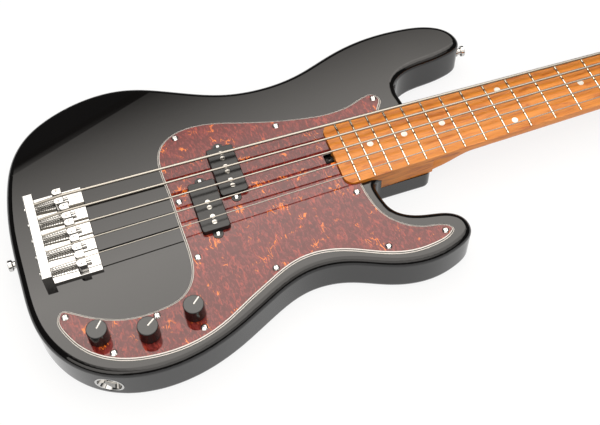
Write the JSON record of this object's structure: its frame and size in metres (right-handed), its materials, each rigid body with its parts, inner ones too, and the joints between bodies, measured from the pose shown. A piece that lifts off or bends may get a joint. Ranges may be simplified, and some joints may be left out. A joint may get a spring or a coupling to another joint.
{
  "type": "electric bass guitar",
  "caption": "Solid body electric bass guitar with a bolt-on fretted neck, split pickup, adjustable bridge saddles, geared tuners, control knobs and a side output jack.",
  "frame": {"origin": "on the flat back of the body, on the centreline, straight below the line from which the string scale is measured at the saddles", "axes": "+X along the neck from saddles to nut, +Y towards the thickest string, +Z out of the face of the body"},
  "size_m": [1.1456, 0.3267, 0.0637],
  "materials": {
    "black_lacquer": "polished black lacquer on wood",
    "roasted_maple": "satin roasted maple",
    "fret_metal": "polished nickel silver",
    "pearl": "pearl inlay",
    "bone": "smooth bone white",
    "steel": "plain steel",
    "dark_steel": "blackened steel",
    "chrome": "bright chrome",
    "tortoiseshell": "glossy mottled red brown sheet with pale edge plies",
    "black_plastic": "satin black",
    "coil": "wound enamelled wire, bound in dark tape",
    "string_steel": "round wound steel"
  },
  "bodies": {
    "instrument": {"body": "black_lacquer", "neck": "roasted_maple", "fingerboard": "roasted_maple", "frets": "fret_metal", "fret_markers": "pearl", "nut": "bone", "truss_rod": "steel", "neck_plate": "chrome", "neck_screws": "chrome", "pickguard": "tortoiseshell", "pickguard_screws": "chrome", "control_pots": "steel", "jack_plate": "chrome", "jack_socket": "chrome", "strap_buttons": "chrome", "trim_screws": "chrome", "bridge_plate": "chrome", "bridge_screws": "chrome", "intonation_springs": "steel", "tuner_bushings": "chrome", "tuner_screws": "chrome", "string_retainer": "chrome", "tuner_housings": "chrome", "string_1": "string_steel", "string_2": "string_steel", "string_3": "string_steel", "string_4": "string_steel", "string_5": "string_steel"},
    "truss_adjuster": {"truss_rod_nut": "dark_steel"},
    "control_knob_1": {"knob_1": "black_plastic"},
    "control_knob_2": {"knob_2": "black_plastic"},
    "control_knob_3": {"knob_3": "black_plastic"},
    "pickup_bass": {"pickup_cover_bass": "black_plastic", "pickup_coil_bass": "coil", "pickup_poles_bass": "steel", "pickup_screws_bass": "chrome"},
    "pickup_treble": {"pickup_cover_treble": "black_plastic", "pickup_coil_treble": "coil", "pickup_poles_treble": "steel", "pickup_screws_treble": "chrome"},
    "intonation_1": {"intonation_screw_1": "chrome"},
    "saddle_block_1": {"saddle_1": "chrome"},
    "intonation_2": {"intonation_screw_2": "chrome"},
    "saddle_block_2": {"saddle_2": "chrome"},
    "intonation_3": {"intonation_screw_3": "chrome"},
    "saddle_block_3": {"saddle_3": "chrome"},
    "intonation_4": {"intonation_screw_4": "chrome"},
    "saddle_block_4": {"saddle_4": "chrome"},
    "intonation_5": {"intonation_screw_5": "chrome"},
    "saddle_block_5": {"saddle_5": "chrome"},
    "tuner_key_body_1": {"tuner_key_1": "chrome"},
    "tuner_post_body_1": {"tuner_post_1": "chrome"},
    "tuner_key_body_2": {"tuner_key_2": "chrome"},
    "tuner_post_body_2": {"tuner_post_2": "chrome"},
    "tuner_key_body_3": {"tuner_key_3": "chrome"},
    "tuner_post_body_3": {"tuner_post_3": "chrome"},
    "tuner_key_body_4": {"tuner_key_4": "chrome"},
    "tuner_post_body_4": {"tuner_post_4": "chrome"},
    "tuner_key_body_5": {"tuner_key_5": "chrome"},
    "tuner_post_body_5": {"tuner_post_5": "chrome"}
  },
  "joints": [
    {"name": "truss_adjuster_turn", "type": "hinge", "parent": "instrument", "child": "truss_adjuster", "pos_m": [0.25402, 0, 0.0403], "axis": [1, 0, 0], "range_deg": [-180, 180]},
    {"name": "knob_1_turn", "type": "hinge", "parent": "instrument", "child": "control_knob_1", "pos_m": [-0.00549, -0.116, 0.0469], "axis": [0, 0, 1], "range_deg": [-150, 150]},
    {"name": "knob_2_turn", "type": "hinge", "parent": "instrument", "child": "control_knob_2", "pos_m": [0.03751, -0.12801, 0.0469], "axis": [0, 0, 1], "range_deg": [-150, 150]},
    {"name": "knob_3_turn", "type": "hinge", "parent": "instrument", "child": "control_knob_3", "pos_m": [0.08132, -0.12101, 0.0469], "axis": [0, 0, 1], "range_deg": [-150, 150]},
    {"name": "pickup_bass_height", "type": "slide", "parent": "instrument", "child": "pickup_bass", "axis": [0, 0, 1], "range_m": [-0.0015, 0.0015]},
    {"name": "pickup_treble_height", "type": "slide", "parent": "instrument", "child": "pickup_treble", "axis": [0, 0, 1], "range_m": [-0.0015, 0.0015]},
    {"name": "intonation_1_turn", "type": "hinge", "parent": "instrument", "child": "intonation_1", "pos_m": [0, 0.0372, 0.0507], "axis": [1, 0, 0], "range_deg": [-1450, 1450], "deforming": ["string_1", "intonation_springs"]},
    {"name": "saddle_1_slide", "type": "slide", "parent": "instrument", "child": "saddle_block_1", "axis": [1, 0, 0], "range_m": [-0.0032, 0.0032], "deforming": ["string_1", "intonation_springs"]},
    {"name": "intonation_2_turn", "type": "hinge", "parent": "instrument", "child": "intonation_2", "pos_m": [0, 0.0186, 0.0507], "axis": [1, 0, 0], "range_deg": [-1450, 1450], "deforming": ["string_2", "intonation_springs"]},
    {"name": "saddle_2_slide", "type": "slide", "parent": "instrument", "child": "saddle_block_2", "axis": [1, 0, 0], "range_m": [-0.0032, 0.0032], "deforming": ["string_2", "intonation_springs"]},
    {"name": "intonation_3_turn", "type": "hinge", "parent": "instrument", "child": "intonation_3", "pos_m": [0, 0, 0.0507], "axis": [1, 0, 0], "range_deg": [-1450, 1450], "deforming": ["string_3", "intonation_springs"]},
    {"name": "saddle_3_slide", "type": "slide", "parent": "instrument", "child": "saddle_block_3", "axis": [1, 0, 0], "range_m": [-0.0032, 0.0032], "deforming": ["string_3", "intonation_springs"]},
    {"name": "intonation_4_turn", "type": "hinge", "parent": "instrument", "child": "intonation_4", "pos_m": [0, -0.0186, 0.0507], "axis": [1, 0, 0], "range_deg": [-1450, 1450], "deforming": ["string_4", "intonation_springs"]},
    {"name": "saddle_4_slide", "type": "slide", "parent": "instrument", "child": "saddle_block_4", "axis": [1, 0, 0], "range_m": [-0.0032, 0.0032], "deforming": ["string_4", "intonation_springs"]},
    {"name": "intonation_5_turn", "type": "hinge", "parent": "instrument", "child": "intonation_5", "pos_m": [0, -0.0372, 0.0507], "axis": [1, 0, 0], "range_deg": [-1450, 1450], "deforming": ["string_5", "intonation_springs"]},
    {"name": "saddle_5_slide", "type": "slide", "parent": "instrument", "child": "saddle_block_5", "axis": [1, 0, 0], "range_m": [-0.0032, 0.0032], "deforming": ["string_5", "intonation_springs"]},
    {"name": "tuner_key_1_turn", "type": "hinge", "parent": "instrument", "child": "tuner_key_body_1", "pos_m": [0.91917, 0.0294, 0.0258], "axis": [0, 1, 0], "continuous": true, "deforming": ["string_1"]},
    {"name": "tuner_post_1_turn", "type": "hinge", "parent": "instrument", "child": "tuner_post_body_1", "pos_m": [0.90858, 0.0294, 0.0433], "axis": [0, 0, 1], "continuous": true, "deforming": ["string_1"]},
    {"name": "tuner_key_2_turn", "type": "hinge", "parent": "instrument", "child": "tuner_key_body_2", "pos_m": [0.97247, 0.02688, 0.0258], "axis": [0, 1, 0], "continuous": true, "deforming": ["string_2"]},
    {"name": "tuner_post_2_turn", "type": "hinge", "parent": "instrument", "child": "tuner_post_body_2", "pos_m": [0.96188, 0.02688, 0.0433], "axis": [0, 0, 1], "continuous": true, "deforming": ["string_2"]},
    {"name": "tuner_key_3_turn", "type": "hinge", "parent": "instrument", "child": "tuner_key_body_3", "pos_m": [1.02578, 0.02436, 0.0258], "axis": [0, 1, 0], "continuous": true, "deforming": ["string_3"]},
    {"name": "tuner_post_3_turn", "type": "hinge", "parent": "instrument", "child": "tuner_post_body_3", "pos_m": [1.01517, 0.02436, 0.0433], "axis": [0, 0, 1], "continuous": true, "deforming": ["string_3"]},
    {"name": "tuner_key_4_turn", "type": "hinge", "parent": "instrument", "child": "tuner_key_body_4", "pos_m": [0.99913, -0.02562, 0.0258], "axis": [0, -1, 0], "continuous": true, "deforming": ["string_4"]},
    {"name": "tuner_post_4_turn", "type": "hinge", "parent": "instrument", "child": "tuner_post_body_4", "pos_m": [0.98852, -0.02562, 0.0433], "axis": [0, 0, 1], "continuous": true, "deforming": ["string_4"]},
    {"name": "tuner_key_5_turn", "type": "hinge", "parent": "instrument", "child": "tuner_key_body_5", "pos_m": [0.94583, -0.02814, 0.0258], "axis": [0, -1, 0], "continuous": true, "deforming": ["string_5"]},
    {"name": "tuner_post_5_turn", "type": "hinge", "parent": "instrument", "child": "tuner_post_body_5", "pos_m": [0.93522, -0.02814, 0.0433], "axis": [0, 0, 1], "continuous": true, "deforming": ["string_5"]}
  ],
  "couplings": [
    {"joint": "intonation_1_turn", "follows": "saddle_1_slide", "rad_per_m": 7854},
    {"joint": "intonation_2_turn", "follows": "saddle_2_slide", "rad_per_m": 7854},
    {"joint": "intonation_3_turn", "follows": "saddle_3_slide", "rad_per_m": 7854},
    {"joint": "intonation_4_turn", "follows": "saddle_4_slide", "rad_per_m": 7854},
    {"joint": "intonation_5_turn", "follows": "saddle_5_slide", "rad_per_m": 7854},
    {"joint": "tuner_post_1_turn", "follows": "tuner_key_1_turn", "ratio": 0.05},
    {"joint": "tuner_post_2_turn", "follows": "tuner_key_2_turn", "ratio": 0.05},
    {"joint": "tuner_post_3_turn", "follows": "tuner_key_3_turn", "ratio": 0.05},
    {"joint": "tuner_post_4_turn", "follows": "tuner_key_4_turn", "ratio": -0.05},
    {"joint": "tuner_post_5_turn", "follows": "tuner_key_5_turn", "ratio": -0.05}
  ]
}
